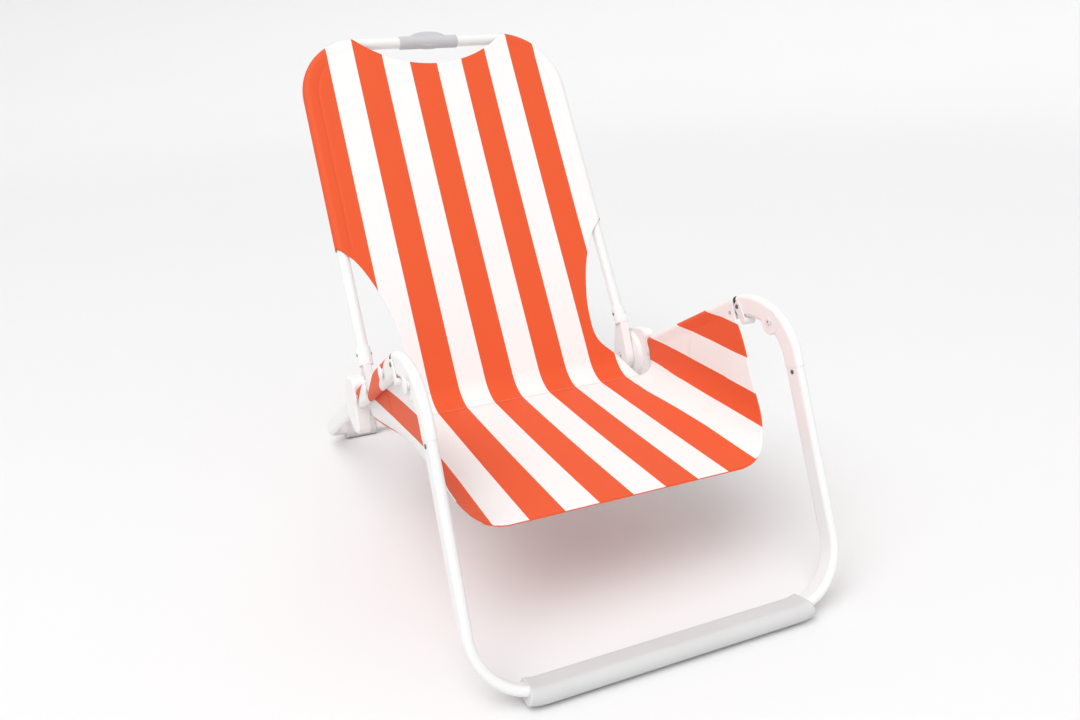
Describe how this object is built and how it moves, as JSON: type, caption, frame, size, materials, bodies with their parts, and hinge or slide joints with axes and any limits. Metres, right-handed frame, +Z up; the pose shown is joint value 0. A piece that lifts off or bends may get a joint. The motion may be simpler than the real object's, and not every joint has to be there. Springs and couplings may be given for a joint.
{
  "type": "folding beach chair",
  "caption": "Low folding beach chair with a bent-tube frame, a striped cloth sling seat and back, plastic arm knuckles with squeeze triggers, and a carrying grip on top.",
  "frame": {"origin": "on the floor, under the middle of the chair's bounding box", "axes": "+Z up, the chair faces -Y, +X towards the sitter's left"},
  "size_m": [0.6292, 1.1032, 0.8976],
  "materials": {
    "frame_tube": "satin white powder coat",
    "knuckle_plastic": "fine-grained moulded",
    "trigger_plastic": "fine-grained moulded",
    "hub_plastic": "fine-grained moulded",
    "sole_plastic": "fine-grained moulded",
    "grip_plastic": "fine-grained moulded",
    "stud_plastic": "moulded",
    "seal_rubber": "matt",
    "dark_steel": "dark plated",
    "bright_steel": "plated",
    "sling_cloth": "orange and white stripes, plain woven"
  },
  "bodies": {
    "base_frame": {"base_frame_tube": "frame_tube", "arm_housing_left": "knuckle_plastic", "arm_housing_right": "knuckle_plastic", "rail_seal_left": "seal_rubber", "rail_seal_right": "seal_rubber", "hub_shell_left": "hub_plastic", "hub_shell_right": "hub_plastic", "hub_cover_left": "hub_plastic", "hub_cover_right": "hub_plastic", "hub_bolts": "dark_steel", "hub_nuts": "bright_steel", "knuckle_pins": "dark_steel", "trigger_pins": "dark_steel", "accessory_studs": "stud_plastic", "seat_fabric": "sling_cloth", "fabric_rivets": "bright_steel", "rear_foot_left": "sole_plastic", "rear_foot_right": "sole_plastic"},
    "front_leg": {"front_leg_tube": "frame_tube", "leg_casing_left": "knuckle_plastic", "leg_casing_right": "knuckle_plastic", "front_foot_sleeve": "sole_plastic", "leg_screws": "dark_steel"},
    "backrest": {"back_frame_tube": "frame_tube", "back_bracket_left": "hub_plastic", "back_bracket_right": "hub_plastic", "collar_screws": "dark_steel", "hand_grip": "grip_plastic", "back_fabric": "sling_cloth"},
    "trigger_left": {"trigger_left": "trigger_plastic"},
    "trigger_right": {"trigger_right": "trigger_plastic"}
  },
  "joints": [
    {"name": "leg_fold", "type": "hinge", "parent": "base_frame", "child": "front_leg", "pos_m": [0, -0.33207, 0.41464], "axis": [1, 0, 0], "range_deg": [0, 78]},
    {"name": "back_fold", "type": "hinge", "parent": "base_frame", "child": "backrest", "pos_m": [0, 0.13274, 0.2283], "axis": [1, 0, 0], "range_deg": [0, 94]},
    {"name": "trigger_left_squeeze", "type": "hinge", "parent": "base_frame", "child": "trigger_left", "pos_m": [0.3, -0.24716, 0.42027], "axis": [1, 0, 0], "range_deg": [0, 9], "stiffness_Nm_per_rad": 0.05, "springref_deg": -17.19},
    {"name": "trigger_right_squeeze", "type": "hinge", "parent": "base_frame", "child": "trigger_right", "pos_m": [-0.3, -0.24716, 0.42027], "axis": [1, 0, 0], "range_deg": [0, 9], "stiffness_Nm_per_rad": 0.05, "springref_deg": -17.19}
  ]
}
